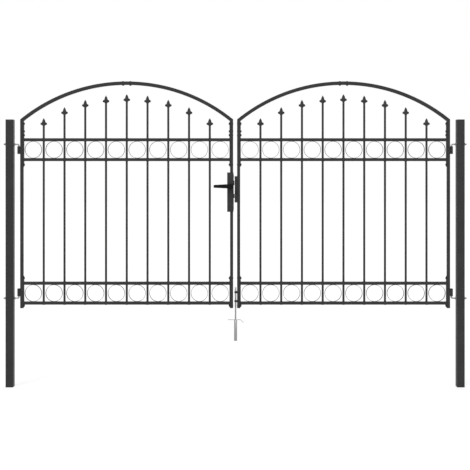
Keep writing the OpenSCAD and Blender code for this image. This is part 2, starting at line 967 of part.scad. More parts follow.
module front_lever() {
    color(lever_black) lever();
}

module back_lever() {
    color(lever_black) mirror([0, 1, 0]) lever();
}

module lever_spindle() {
    color(zinc) spindle();
}

module latch_bolt() {
    color(bolt_black) latch();
}

module dead_bolt() {
    color(bolt_black) dead();
}

module right_outer_stile() {
    color(coat_black) other_side() stile(outer_x, stile_z, arch_joint_z);
}

module right_inner_stile() {
    color(coat_black) other_side() stile(inner_x, stile_z, arch_joint_z);
}

module right_arch_outer_half() {
    color(coat_black) other_side() outer_arch_half();
}

module right_arch_inner_half() {
    color(coat_black) other_side() inner_arch_half();
}

module right_infill_panel() {
    color(coat_black) other_side() infill_panel();
}

module right_upper_hinge_barrel() {
    color(coat_black) other_side() barrel(upper_barrel_z);
}

module right_lower_hinge_barrel() {
    color(coat_black) other_side() barrel(lower_barrel_z);
}

module right_stile_plugs() {
    color(cap_black) other_side() stile_plugs();
}

module strike_box() {
    color(coat_black) strike();
}

module upper_bolt_guide() {
    color(coat_black) guide(upper_guide_z);
}

module lower_bolt_guide() {
    color(coat_black) guide(lower_guide_z);
}

module drop_bolt() {
    color(zinc) drop_rod();
}

left_post();
right_post();
left_post_cap();
right_post_cap();
left_post_foot_plug();
right_post_foot_plug();
left_upper_hinge_hook();
left_lower_hinge_hook();
right_upper_hinge_hook();
right_lower_hinge_hook();
ground_sleeve();
left_outer_stile();
left_inner_stile_upper();
left_inner_stile_lower();
left_arch_outer_half();
left_arch_inner_half();
left_infill_panel();
left_upper_hinge_barrel();
left_lower_hinge_barrel();
left_stile_plugs();
lock_case();
lock_face_plate();
key_cylinder();
front_rose();
back_rose();
front_lever();
back_lever();
lever_spindle();
latch_bolt();
dead_bolt();
right_outer_stile();
right_inner_stile();
right_arch_outer_half();
right_arch_inner_half();
right_infill_panel();
right_upper_hinge_barrel();
right_lower_hinge_barrel();
right_stile_plugs();
strike_box();
upper_bolt_guide();
lower_bolt_guide();
drop_bolt();
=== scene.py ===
"""Looks of a double-leaf garden gate: coated steel tube, zinc hooks, a lever lock and a drop bolt."""

import math

import bmesh
import bpy
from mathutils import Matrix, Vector


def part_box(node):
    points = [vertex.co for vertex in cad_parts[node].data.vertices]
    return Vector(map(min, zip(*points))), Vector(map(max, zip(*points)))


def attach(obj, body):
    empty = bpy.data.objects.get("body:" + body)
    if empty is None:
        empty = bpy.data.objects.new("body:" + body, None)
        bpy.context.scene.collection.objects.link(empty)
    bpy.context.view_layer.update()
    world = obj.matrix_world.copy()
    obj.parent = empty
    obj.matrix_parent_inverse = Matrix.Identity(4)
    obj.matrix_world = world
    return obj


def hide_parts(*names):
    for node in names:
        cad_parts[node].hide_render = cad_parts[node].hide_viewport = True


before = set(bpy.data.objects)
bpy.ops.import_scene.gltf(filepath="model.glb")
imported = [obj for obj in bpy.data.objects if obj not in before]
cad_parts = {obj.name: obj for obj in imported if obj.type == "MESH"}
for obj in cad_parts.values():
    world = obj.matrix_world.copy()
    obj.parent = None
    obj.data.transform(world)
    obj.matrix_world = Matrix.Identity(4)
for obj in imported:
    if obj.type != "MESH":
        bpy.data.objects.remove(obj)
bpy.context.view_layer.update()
scene = bpy.context.scene

MM = 0.001
X = Vector((1, 0, 0))
Y = Vector((0, 1, 0))
Z = Vector((0, 0, 1))
QUARTER = math.pi / 2
TURN = 2 * math.pi

# Sides and steps of the round shapes
ROUND = 32
HEX = 6
CORNER_STEPS = 4
EDGE_STEPS = 3
DOME_STEPS = 6
BEND_STEPS = 12
ARCH_STEPS = 72
RING_STEPS = 72

# Shares of a radius: the flat on top of a dome, and the least that an inset leaves of a corner
DOME_FLAT = 0.025
LEAST_CORNER = 0.25

# Sections of the tubes and rods
TUBE_W = 20 * MM
TUBE_CORNER = 2.5 * MM
RAIL_W = 20 * MM
RAIL_CORNER = 1.5 * MM
RAIL_EDGE = 0.3 * MM
BAR_R = 7 * MM
ROD_EDGE = 0.4 * MM
PIN_R = 5 * MM
POST_CORNER = 4 * MM

# Layout of the leaves
ARCH_RADIUS = 1092 * MM
ARCH_W = 22.5 * MM
ARCH_EDGE = 0.4 * MM
ARCH_MITRE_ROOM = 1.2 * TUBE_W
TOP_RAIL_DROP = 80 * MM
BAND_H = 130 * MM
BAR_COUNT = 9
BAR_END_PROUD = 0.3 * MM
END_PLATE_T = 4 * MM
END_PLATE_REACH = 37 * MM
END_PLATE_FOOT = 18 * MM
END_PLATE_GAP = 2 * MM
END_PLATE_EDGE = 0.6 * MM
RING_WALL = 2 * MM
RING_DEPTH = 12 * MM
RING_SINK = 0.4 * MM
RING_EDGE = 0.5 * MM
RING_EDGE_STEPS = 2
SPEAR_GAP = 60.5 * MM

# Spear head, measured down from its tip and out from its middle
SPEAR_H = 52 * MM
SPEAR_LAP = 1 * MM
SPEAR_ROWS = 44
SPEAR_SIDES = 24
TIP_W = 0.3 * MM
TIP_T = 1.4 * MM
BLADE_W = 10.2 * MM
BLADE_LEN = 25 * MM
BLADE_FLARE = 0.9 * BLADE_LEN
EAR_OUT = 14 * MM
EAR_DOWN = 37 * MM
EAR_R = 8 * MM
EAR_T = 3.4 * MM
EAR_TOP = EAR_DOWN - EAR_R
EAR_LOW = EAR_DOWN + 0.8 * EAR_R
SPEAR_NECK_CURVE = 1.3
RIDGE_W = 0.8 * BAR_R

# Weld beads: their sides, the ripples of a round one and the scales of a straight one
WELD_SIDES = 10
ROUND_WELD_STEPS = 36
ROUND_WELD_RIPPLES = 9
ROUND_WELD_SWELL = 0.12
ODD_RIPPLES = 2.3 * ROUND_WELD_RIPPLES
ODD_SWELL = 0.05
WELD_SCALE = 3.2 * MM
WELD_SCALE_STEPS = 4
WELD_SCALE_SWELL = 0.1
WELD_LEAST_STEPS = 8
WELD_END_SIZE = 0.25
WELD_END_CURVE = 6

# Radii and places of the weld beads of the infill
BAR_WELD = 1.5 * MM
BAR_WELD_OUT = 0.4 * MM
BAR_WELD_LIFT = 0.2 * MM
PLATE_WELD = 1.4 * MM
PLATE_WELD_OUT = 0.3 * MM
PLATE_WELD_REACH = 8 * MM
RING_WELD = 1.1 * MM
RING_WELD_OUT = 6 * MM
RING_WELD_LIFT = 0.3 * MM
RING_WELD_SHARE = 0.42

# Hinges; a rod's end is a list of distances from its tip with the share of its radius there
HOOK_BEND_R = 10 * MM
HOOK_PLAIN = 8 * MM
HOOK_LAP = 1 * MM
HOOK_SIDES = 24
THREAD_PITCH = 1.5 * MM
THREAD_DEPTH = 0.85 * MM
THREAD_FLANK = 0.9
THREAD_ROWS = 8
THREAD_TAPER_ROWS = 12
PIN_SHORT = 3 * MM
PIN_END = ((1.2 * MM, 1), (0.4 * MM, 0.93), (0, 0.8))
BARREL_R = 10 * MM
BARREL_BORE_R = 5.3 * MM
BARREL_EDGE = 0.8 * MM
BARREL_SIDES = 40
BARREL_WELD = 2.4 * MM
BARREL_WELD_GAP = 2.6 * MM
BARREL_WELD_OUT = 5.6 * MM
BARREL_WELD_SHORT = 2 * MM
HOOK_NUT_FLAT = 17 * MM
HOOK_NUT_CORNER_R = HOOK_NUT_FLAT / 2 / math.cos(math.pi / HEX)
HOOK_NUT_T = 6.5 * MM
HOOK_NUT_EDGE = 0.3 * MM
HOOK_NUT_LAP = 0.5 * MM
HOOK_WASHER_R = 10 * MM
HOOK_WASHER_T = 1.5 * MM

# Bolts that hold the arch and the infill to the stiles; a head is its radius and its height
BOLT_SIDES = 28
BOLT_SINK = 0.3 * MM
STILE_HEAD = (6.5 * MM, 1.2 * MM)
APEX_HEAD = (8 * MM, 3.2 * MM)
NUT_FLAT = 13 * MM
NUT_CORNER_R = NUT_FLAT / 2 / math.cos(math.pi / HEX)
NUT_H = 3.6 * MM
ACORN_H = 5.4 * MM
ACORN_R = 0.44 * NUT_FLAT
ACORN_NECK = 0.4 * MM
WASHER_PROFILE = ((0.62 * NUT_FLAT, -0.2 * MM), (0.62 * NUT_FLAT, 0.5 * MM), (0.58 * NUT_FLAT, 0.8 * MM))
NUT_PROFILE = (
    (0.94 * NUT_CORNER_R, 0.6 * MM),
    (NUT_CORNER_R, 1 * MM),
    (NUT_CORNER_R, NUT_H),
    (0.9 * NUT_CORNER_R, NUT_H + 0.5 * MM),
)
JOINT_BOLT = 25 * MM
RAIL_BOLT = 30 * MM
PLATE_END_BOLT = 14 * MM
PLATE_FOOT_BOLT = 11 * MM
APEX_BOLT = 24 * MM

# Post caps and foot plugs: distance behind the outer face with the inset from the flange's rim
CAP_ROWS = ((4 * MM, 0), (0.9 * MM, 0), (0.3 * MM, 0.3 * MM), (0, 0.9 * MM), (0, 6 * MM))

# Lock case, lever and rose; the rose's rows are an inset from its rim with a share of its thickness
LOCK_EDGE = 2.2 * MM
LOCK_EDGE_STEPS = 4
LOCK_RIM_EDGE = 0.6 * MM
LOCK_WALL = 2 * MM
LEVER_ROOT_H = 29 * MM
LEVER_TIP_H = 18 * MM
LEVER_TIP_ROUND = 5 * MM
LEVER_T = 12 * MM
LEVER_FLATNESS = 6
LEVER_STEPS = 10
LEVER_SIDES = 48
LEVER_LEAST_R = 0.2 * MM
LEVER_CASE_GAP = 0.4 * MM
RIB_W = 5 * MM
RIB_T = 1.2 * MM
RIB_EDGE = 0.5 * MM
RIB_FROM_TIP = 12 * MM
RIB_FROM_AXIS = 6 * MM
LEVER_NECK_R = 8 * MM
LEVER_NECK_GAP = 0.4 * MM
ROSE_R = 17 * MM
ROSE_T = 6 * MM
ROSE_SIDES = 48
ROSE_ROWS = ((0, 0), (0, 0.45), (0.8 * MM, 0.72), (2.6 * MM, 0.94), (4.5 * MM, 1))
ROSE_MOUTH = 0.8 * MM
ROSE_MOUTH_DEPTH = 0.6 * MM

# Key cylinder: its round core, the plug in it, the keyway and the flat part below
KEY_R = 8.5 * MM
KEY_EDGE = 0.5 * MM
KEY_PLUG_R = 0.7 * KEY_R
KEY_PLUG_FACE_R = 0.64 * KEY_R
KEY_PLUG_EDGE = 0.06 * KEY_R
KEY_PLUG_STEP = 0.8 * MM
KEY_FLAT_W = 10 * MM
KEY_FLAT_TOP = 0.65 * KEY_R
KEY_FLAT_STEP = KEY_PLUG_STEP + KEY_EDGE / 2
KEYWAY_W = 1.8 * MM
KEYWAY_H = 8.5 * MM
KEYWAY_DEPTH = 6 * MM
KEYWAY_CORNER = 0.45 * KEYWAY_W
KEYWAY_STEPS = 9

# Screws, with their distances from the ends of the face plate and the strike
SCREW_R = 3.6 * MM
SCREW_RISE = 0.9 * MM
SCREW_CROSS_HALF_W = 0.5 * MM
SCREW_CROSS_R = 2.1 * MM
SCREW_LAND_R = 1.15 * SCREW_CROSS_R
SCREW_FLOOR_R = 0.2 * SCREW_CROSS_HALF_W
SCREW_FLOOR_SHARE = 0.1
SCREW_SIDES = 48
SCREW_DOME_ROWS = 3
PLATE_SCREW = 24 * MM
STRIKE_LOW_SCREW = 12 * MM
STRIKE_HIGH_SCREW = 11 * MM

# Drop bolt, with the ends of its rod as for the hinges
DROP_R = 5 * MM
DROP_SIDES = 28
DROP_BEND_R = 8 * MM
DROP_TIP = ((0, 0.45), (0.6 * MM, 0.62), (4 * MM, 1))
DROP_HANDLE_END = ((1.2 * MM, 1), (0.4 * MM, 0.92), (0, 0.78))

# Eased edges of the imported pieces, and the angle from which an edge of the others looks sharp
FACE_PLATE_EDGE = 0.25 * MM
SMALL_EDGE = 0.4 * MM
EASED_STEPS = 2
EASED_FROM = math.radians(50)
JOINED_SHARE = 0.025
SHARP_FROM = math.radians(38)

# Blue of a grey material beside its red and green
COOL_TINT = 1.02

# Camera, set as the photo's was; its shift is in pixels of the photo
CAMERA_PLACE = (1.4742, -6.0, 1.387)
CAMERA_LENS = 70.1
CAMERA_SENSOR = 36
PHOTO_W = 470
PHOTO_SHIFT = -60

# Light and floor; a lamp is its direction from the gate, its strength and its softness in degrees
LAMPS = {
    "key": ((-0.45, -0.75, 0.6), 1.9, 30),
    "fill": ((0.5, -0.75, 0.35), 0.8, 60),
    "back": ((0.15, 0.8, 0.6), 1.5, 60),
}
LAMP_AIM_Z = 1
LAMP_DISTANCE = 6
WORLD_LIGHT = 0.4
FLOOR_REACH = 40
FLOOR_GREY = 0.9
FLOOR_ROUGHNESS = 0.9
FLOOR_WHITE = 1.05
FLOOR_WHITE_SHARE = 0.72


def mid(node):
    """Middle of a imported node's box."""
    low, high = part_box(node)
    return (low + high) / 2


# Shapes

class Shape:
    """Points and faces that become one mesh."""

    def __init__(self):
        self.points = []
        self.faces = []

    def add(self, points, faces):
        first = len(self.points)
        self.points += [Vector(p) for p in points]
        self.faces += [[first + i for i in face] for face in faces]

    def mirrored(self, axis, middle):
        """The same shape on the other side of a plane across one axis."""
        twin = Shape()
        for p in self.points:
            q = p.copy()
            q[axis] = 2 * middle - q[axis]
            twin.points.append(q)
        twin.faces = [face[::-1] for face in self.faces]
        return twin


def skin(shape, rings, loop=False):
    """Closed skin over rings of points of equal count; a loop has no ends to close."""
    count = len(rings[0])
    spans = len(rings) if loop else len(rings) - 1
    faces = []
    for i in range(spans):
        a = i * count
        b = (i + 1) % len(rings) * count
        for k in range(count):
            n = (k + 1) % count
            faces.append((a + k, a + n, b + n, b + k))
    if not loop:
        faces.append(tuple(range(count - 1, -1, -1)))
        faces.append(tuple(range(spans * count, (spans + 1) * count)))
    shape.add([p for ring in rings for p in ring], faces)


def circle(radius, count=ROUND):
    step = TURN / count
    return [(radius * math.cos(i * step), radius * math.sin(i * step)) for i in range(count)]


def rounded_rect(width, depth, corner, steps=CORNER_STEPS):
    points = []
    for quarter, (sx, sy) in enumerate(((1, 1), (-1, 1), (-1, -1), (1, -1))):
        for i in range(steps + 1):
            a = QUARTER * (quarter + i / steps)
            x = sx * (width / 2 - corner) + corner * math.cos(a)
            y = sy * (depth / 2 - corner) + corner * math.sin(a)
            points.append((x, y))
    return points


def arc_rise(radius, off):
    """Height of a circle over its centre at a distance off to one side."""
    return math.sqrt(radius ** 2 - off ** 2)


def quarter_turn(steps):
    """Angles of a quarter turn, with both ends."""
    return [QUARTER * k / steps for k in range(steps + 1)]


def sweep(shape, stations, profile, loop=False):
    """Carries a profile along stations, each a centre with the two axes of its section."""
    skin(shape, [[c + u * a + v * b for a, b in profile] for c, u, v in stations], loop)


def straight(shape, start, end, u, v, section, edge):
    """Straight piece whose section(inset) gives its outline, with its end edges rounded."""
    along = (end - start).normalized()
    cuts = [(edge * (1 - math.cos(a)), edge * (1 - math.sin(a))) for a in quarter_turn(EDGE_STEPS)]
    rings = []
    for offset, inset in cuts:
        rings.append([start + along * offset + u * a + v * b for a, b in section(inset)])
    for offset, inset in reversed(cuts):
        rings.append([end - along * offset + u * a + v * b for a, b in section(inset)])
    skin(shape, rings)


def rod(shape, start, end, radius, edge):
    along = (end - start).normalized()
    u = along.orthogonal().normalized()
    straight(shape, start, end, u, along.cross(u), lambda inset: circle(radius - inset), edge)


def box_bar(shape, start, end, u, v, width, depth, corner, edge):
    def section(inset):
        return rounded_rect(width - 2 * inset, depth - 2 * inset, max(corner - inset, corner * LEAST_CORNER))
    straight(shape, start, end, u, v, section, edge)


def block(shape, low, high, edge):
    """Box with all its edges rounded."""
    middle = (low + high) / 2
    extent = high - low
    start = Vector((middle.x, middle.y, low.z))
    end = Vector((middle.x, middle.y, high.z))
    box_bar(shape, start, end, X, Y, extent.x, extent.y, edge, edge)


def turned(shape, base, axis, profile, count=ROUND, loop=False):
    """Turned piece: profile holds (radius, height) pairs along the axis from its base."""
    u = axis.orthogonal().normalized()
    v = axis.cross(u)
    rings = []
    for radius, height in profile:
        rings.append([base + axis * height + u * a + v * b for a, b in circle(radius, count)])
    skin(shape, rings, loop)


def dome(radius, height):
    """Profile of a low dome, from its rim to a small flat at its top."""
    rise = quarter_turn(DOME_STEPS)[:-1]
    return [(radius * math.cos(a), height * math.sin(a)) for a in rise] + [(radius * DOME_FLAT, height)]


def round_weld(shape, centre, axis, radius, bead):
    """Bead of weld round a bar where it meets a rail, with a light ripple."""
    u = axis.orthogonal().normalized()
    v = axis.cross(u)
    stations = []
    for i in range(ROUND_WELD_STEPS):
        a = TURN * i / ROUND_WELD_STEPS
        out = u * math.cos(a) + v * math.sin(a)
        swell = 1 + ROUND_WELD_SWELL * math.sin(ROUND_WELD_RIPPLES * a)
        swell += ODD_SWELL * math.sin(ODD_RIPPLES * a + 1)
        stations.append((centre + out * radius, out * swell, axis * swell))
    sweep(shape, stations, circle(bead, WELD_SIDES), loop=True)


def straight_weld(shape, start, end, bead):
    """Straight bead of weld with the scales that the welding leaves."""
    along = (end - start).normalized()
    u = along.orthogonal().normalized()
    v = along.cross(u)
    scales = (end - start).length / WELD_SCALE
    count = max(WELD_LEAST_STEPS, int(scales * WELD_SCALE_STEPS))
    rings = []
    for i in range(count + 1):
        t = i / count
        close = math.sqrt(max(0.0, 1 - abs(2 * t - 1) ** WELD_END_CURVE))
        swell = WELD_END_SIZE + (1 - WELD_END_SIZE) * close
        swell *= 1 + WELD_SCALE_SWELL * math.sin(TURN * t * scales)
        rings.append([start.lerp(end, t) + (u * a + v * b) * swell for a, b in circle(bead, WELD_SIDES)])
    skin(shape, rings)


# Materials

def node_kit(name):
    material = bpy.data.materials.new(name)
    material.use_nodes = True
    tree = material.node_tree
    return material, tree, tree.nodes["Principled BSDF"]


def place_coords(tree, stretch=(1, 1, 1)):
    """Coordinates in metres that stay with the piece, stretched for a drawn or brushed grain."""
    coords = tree.nodes.new("ShaderNodeTexCoord")
    mapping = tree.nodes.new("ShaderNodeMapping")
    mapping.inputs["Scale"].default_value = stretch
    tree.links.new(coords.outputs["Object"], mapping.inputs["Vector"])
    return mapping.outputs["Vector"]


def noise(tree, coords, scale, detail=3, roughness=0.55):
    node = tree.nodes.new("ShaderNodeTexNoise")
    node.inputs["Scale"].default_value = scale
    node.inputs["Detail"].default_value = detail
    node.inputs["Roughness"].default_value = roughness
    tree.links.new(coords, node.inputs["Vector"])
    return node.outputs["Fac"]


def cells(tree, coords, scale):
    """Crystals of a zinc surface, each with its own shade."""
    node = tree.nodes.new("ShaderNodeTexVoronoi")
    node.inputs["Scale"].default_value = scale
    tree.links.new(coords, node.inputs["Vector"])
    shade = tree.nodes.new("ShaderNodeRGBToBW")
    tree.links.new(node.outputs["Color"], shade.inputs["Color"])
    return shade.outputs["Val"]


def ramp(tree, fac, low, high, start=0.3, end=0.7):
    """Colour that runs from low to high as fac goes from start to end."""
    node = tree.nodes.new("ShaderNodeValToRGB")
    node.color_ramp.elements[0].position = start
    node.color_ramp.elements[1].position = end
    node.color_ramp.elements[0].color = (*low, 1)
    node.color_ramp.elements[1].color = (*high, 1)
    tree.links.new(fac, node.inputs["Fac"])
    return node.outputs["Color"]


def spread(tree, fac, low, high, start=0.3, end=0.7):
    """Number that runs from low to high as fac goes from start to end."""
    node = tree.nodes.new("ShaderNodeMapRange")
    node.inputs["From Min"].default_value = start
    node.inputs["From Max"].default_value = end
    node.inputs["To Min"].default_value = low
    node.inputs["To Max"].default_value = high
    tree.links.new(fac, node.inputs["Value"])
    return node.outputs["Result"]


def bump(tree, height, strength, distance, under=None):
    node = tree.nodes.new("ShaderNodeBump")
    node.inputs["Strength"].default_value = strength
    node.inputs["Distance"].default_value = distance
    tree.links.new(height, node.inputs["Height"])
    if under is not None:
        tree.links.new(under, node.inputs["Normal"])
    return node.outputs["Normal"]


def grey(level):
    """Grey with a slight cool tint."""
    return (level, level, level * COOL_TINT)


def coated_steel():
    """Black powder coat: fine orange peel, slight clouding of its gloss and shade."""
    material, tree, shader = node_kit("black_powder_coat")
    coords = place_coords(tree)
    cloud = noise(tree, coords, scale=9)
    grain = noise(tree, coords, scale=260, detail=2)
    shade = ramp(tree, cloud, low=grey(0.0225), high=grey(0.0285))
    tree.links.new(shade, shader.inputs["Base Color"])
    tree.links.new(spread(tree, grain, low=0.38, high=0.52), shader.inputs["Roughness"])
    shader.inputs["Specular IOR Level"].default_value = 0.12
    peel = bump(tree, noise(tree, coords, scale=620, detail=2), strength=0.3, distance=0.25 * MM)
    fine = noise(tree, coords, scale=2600, detail=2)
    relief = bump(tree, fine, strength=0.15, distance=0.1 * MM, under=peel)
    tree.links.new(relief, shader.inputs["Normal"])
    return material


def moulded_plastic(name, dark, light, specular, smooth, rough):
    """Black moulded plastic with an eroded grain."""
    material, tree, shader = node_kit(name)
    coords = place_coords(tree)
    cloud = noise(tree, coords, scale=30)
    tree.links.new(ramp(tree, cloud, grey(dark), grey(light)), shader.inputs["Base Color"])
    gloss = spread(tree, noise(tree, coords, scale=900), low=smooth, high=rough)
    tree.links.new(gloss, shader.inputs["Roughness"])
    shader.inputs["Specular IOR Level"].default_value = specular
    grain = bump(tree, noise(tree, coords, scale=1800, detail=4), strength=0.35, distance=0.15 * MM)
    tree.links.new(grain, shader.inputs["Normal"])
    return material


def zinc_plate():
    """Zinc-plated steel: crystals of slightly different shade under a drawn grain."""
    material, tree, shader = node_kit("zinc_plate")
    crystals = cells(tree, place_coords(tree), scale=340)
    drawn = noise(tree, place_coords(tree, stretch=(60, 900, 900)), scale=1, detail=2)
    shade = ramp(tree, crystals, low=grey(0.285), high=grey(0.345))
    tree.links.new(shade, shader.inputs["Base Color"])
    tree.links.new(spread(tree, crystals, low=0.36, high=0.46), shader.inputs["Roughness"])
    shader.inputs["Metallic"].default_value = 1
    worn = bump(tree, crystals, strength=0.12, distance=0.1 * MM)
    relief = bump(tree, drawn, strength=0.2, distance=0.08 * MM, under=worn)
    tree.links.new(relief, shader.inputs["Normal"])
    return material


def dark_nickel():
    """Blackened metal of the lock cylinder, bolts and screws, with turning marks."""
    material, tree, shader = node_kit("dark_nickel")
    marks = noise(tree, place_coords(tree, stretch=(1400, 60, 1400)), scale=1, detail=2)
    tree.links.new(ramp(tree, marks, low=grey(0.02), high=grey(0.035)), shader.inputs["Base Color"])
    tree.links.new(spread(tree, marks, low=0.3, high=0.42), shader.inputs["Roughness"])
    shader.inputs["Metallic"].default_value = 0.6
    relief = bump(tree, marks, strength=0.15, distance=0.05 * MM)
    tree.links.new(relief, shader.inputs["Normal"])
    return material


FINISHES = {
    "coat": coated_steel(),
    "cap_plastic": moulded_plastic(
        "cap_plastic", dark=0.013, light=0.017, specular=0.16, smooth=0.45, rough=0.6),
    "lever_plastic": moulded_plastic(
        "lever_plastic", dark=0.005, light=0.007, specular=0.05, smooth=0.35, rough=0.5),
    "zinc": zinc_plate(),
    "dark_steel": dark_nickel(),
}


# Pieces

def dress(node, finish):
    """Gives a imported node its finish."""
    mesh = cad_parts[node].data
    mesh.materials.clear()
    mesh.materials.append(FINISHES[finish])


def soften(node, width):
    """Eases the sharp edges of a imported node, whose faces are joined at their edges first."""
    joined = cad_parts[node].modifiers.new("joined_faces", "WELD")
    joined.merge_threshold = width * JOINED_SHARE
    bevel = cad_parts[node].modifiers.new("eased_edges", "BEVEL")
    bevel.width = width
    bevel.segments = EASED_STEPS
    bevel.limit_method = "ANGLE"
    bevel.angle_limit = EASED_FROM
    bevel.harden_normals = True


def piece(name, shape, body, finish, *stands_for):
    """Makes a mesh of the shape that rides on a body and stands for the named nodes."""
    mesh = bpy.data.meshes.new(name)
    mesh.from_pydata(shape.points, [], shape.faces)
    work = bmesh.new()
    work.from_mesh(mesh)
    bmesh.ops.recalc_face_normals(work, faces=work.faces)
    work.to_mesh(mesh)
    work.free()
    mesh.polygons.foreach_set("use_smooth", [True] * len(mesh.polygons))
    mesh.set_sharp_from_angle(angle=SHARP_FROM)
    mesh.materials.append(FINISHES[finish])
    made = bpy.data.objects.new(name, mesh)
    scene.collection.objects.link(made)
    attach(made, body)
    if stands_for:
        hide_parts(*stands_for)


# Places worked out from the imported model
gate_mid = (mid("left_post").x + mid("right_post").x) / 2
outer_x = mid("left_outer_stile").x
inner_x = mid("left_inner_stile_lower").x
leaf_mid = (outer_x + inner_x) / 2
half_span = (inner_x - outer_x) / 2
joint_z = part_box("left_outer_stile")[1].z
arch_mid_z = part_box("left_arch_outer_half")[1].z - ARCH_W / 2 - ARCH_RADIUS
arch_inner_r = ARCH_RADIUS - ARCH_W / 2
arch_inner_corner_z = arch_mid_z + arc_rise(arch_inner_r, half_span - TUBE_W / 2)
panel_low, panel_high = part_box("left_infill_panel")
top_rail_z = joint_z - TOP_RAIL_DROP
bottom_rail_z = panel_low.z + END_PLATE_FOOT + RAIL_W / 2
bands = (top_rail_z - BAND_H / 2, bottom_rail_z + BAND_H / 2)
band_reach = BAND_H / 2 + RAIL_W / 2
rail_zs = [z + side * BAND_H / 2 for z in bands for side in (-1, 1)]
upper_plate = (bands[0] - band_reach - END_PLATE_REACH, arch_inner_corner_z - END_PLATE_GAP)
lower_plate = (bands[1] - band_reach - END_PLATE_FOOT, bands[1] + band_reach + END_PLATE_REACH)
bar_gap = (panel_high.x - panel_low.x - 2 * END_PLATE_T - 2 * BAR_COUNT * BAR_R) / (BAR_COUNT + 1)
bar_pitch = bar_gap + 2 * BAR_R
bar_xs = [panel_low.x + END_PLATE_T - BAR_R + i * bar_pitch for i in range(1, BAR_COUNT + 1)]
ring_xs = [panel_low.x + END_PLATE_T + bar_gap / 2 + i * bar_pitch for i in range(BAR_COUNT + 1)]
upper_barrel_low, upper_barrel_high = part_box("left_upper_hinge_barrel")
lower_barrel_low, lower_barrel_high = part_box("left_lower_hinge_barrel")
hinge_x = upper_barrel_low.x + BARREL_R


# Infill

def rails():
    shape = Shape()
    for z in rail_zs:
        start = Vector((panel_low.x + END_PLATE_T - END_PLATE_EDGE, 0, z))
        end = Vector((panel_high.x - END_PLATE_T + END_PLATE_EDGE, 0, z))
        box_bar(shape, start, end, Y, Z, RAIL_W, RAIL_W, RAIL_CORNER, RAIL_EDGE)
    return shape


def spear_width(s):
    """Half width of a spear head at a distance s below its tip."""
    width = BLADE_W * math.sin(QUARTER * min(1, s / BLADE_LEN)) + TIP_W
    if BLADE_FLARE < s <= EAR_TOP:
        rise = (s - BLADE_FLARE) / (EAR_TOP - BLADE_FLARE)
        width = max(width, BLADE_W + (EAR_OUT - BLADE_W) * rise ** 2)
    if s >= EAR_LOW:
        fall = max(0, (SPEAR_H - s) / (SPEAR_H - EAR_LOW))
        width = BAR_R + (EAR_OUT - BAR_R) * fall ** SPEAR_NECK_CURVE
    if abs(s - EAR_DOWN) < EAR_R:
        width = max(width, EAR_OUT + arc_rise(EAR_R, s - EAR_DOWN))
    return width


def spear_head(shape, tip):
    """Cast spear head with a ridged blade and two round ears, closed onto its bar."""
    rings = []
    for row in range(SPEAR_ROWS + 1):
        s = SPEAR_H * row / SPEAR_ROWS
        width = spear_width(s)
        core = TIP_T + (BAR_R - TIP_T) * min(1, s / EAR_DOWN)
        flank = EAR_T + (BAR_R - EAR_T) * max(0, (s - EAR_DOWN) / (SPEAR_H - EAR_DOWN)) ** 2
        flank = min(core, flank)
        ring = []
        for k in range(SPEAR_SIDES):
            a = TURN * k / SPEAR_SIDES
            x = width * math.cos(a)
            thick = flank + (core - flank) * math.exp(-(x / RIDGE_W) ** 2)
            ring.append(tip + Vector((x, thick * math.sin(a), -s)))
        rings.append(ring)
    skin(shape, rings)


def spear_bars():
    """Round bars with their spear heads, whose tips follow the arch."""
    shape = Shape()
    reach = arch_inner_r - SPEAR_GAP
    foot_z = bottom_rail_z - RAIL_W / 2 - BAR_END_PROUD
    for x in bar_xs:
        tip = Vector((x, 0, arch_mid_z + arc_rise(reach, x - leaf_mid)))
        spear_head(shape, tip)
        rod(shape, Vector((x, 0, foot_z)), tip - Z * (SPEAR_H - SPEAR_LAP), BAR_R, ROD_EDGE)
    return shape


def ring_bands():
    shape = Shape()
    radius = (BAND_H - RAIL_W) / 2 + RING_SINK - RING_WALL / 2
    profile = rounded_rect(RING_WALL, RING_DEPTH, RING_EDGE, RING_EDGE_STEPS)
    for z in bands:
        for x in ring_xs:
            stations = []
            for i in range(RING_STEPS):
                a = TURN * i / RING_STEPS
                out = X * math.cos(a) + Z * math.sin(a)
                stations.append((Vector((x, 0, z)) + out * radius, out, Y))
            sweep(shape, stations, profile, loop=True)
    return shape


def end_plates():
    shape = Shape()
    for low_z, high_z in (upper_plate, lower_plate):
        for low_x in (panel_low.x, panel_high.x - END_PLATE_T):
            low = Vector((low_x, -RAIL_W / 2, low_z))
            high = Vector((low_x + END_PLATE_T, RAIL_W / 2, high_z))
            block(shape, low, high, END_PLATE_EDGE)
    return shape


def rail_welds(shape, z):
    """Beads round the bars on both faces of a rail, and along its end plates."""
    for x in bar_xs:
        for side in (-1, 1):
            face = Vector((x, 0, z + side * (RAIL_W / 2 + BAR_WELD_LIFT)))
            round_weld(shape, face, Z, BAR_R + BAR_WELD_OUT, BAR_WELD)
    reach = Y * PLATE_WELD_REACH
    for end_x, side in ((panel_low.x, 1), (panel_high.x, -1)):
        x = end_x + side * (END_PLATE_T + PLATE_WELD_OUT)
        for turn in (-1, 1):
            middle = Vector((x, 0, z + turn * RAIL_W / 2))
            straight_weld(shape, middle - reach, middle + reach, PLATE_WELD)


def ring_welds(shape, z):
    """Two short beads where each ring of a band touches a rail."""
    reach = Y * RING_DEPTH * RING_WELD_SHARE
    for x in ring_xs:
        for side in (-1, 1):
            face_z = z + side * (BAND_H - RAIL_W) / 2
            for turn in (-1, 1):
                spot = Vector((x + turn * RING_WELD_OUT, 0, face_z - side * RING_WELD_LIFT))
                straight_weld(shape, spot - reach, spot + reach, RING_WELD)


def infill_welds():
    shape = Shape()
    for z in rail_zs:
        rail_welds(shape, z)
    for z in bands:
        ring_welds(shape, z)
    return shape


# Arch

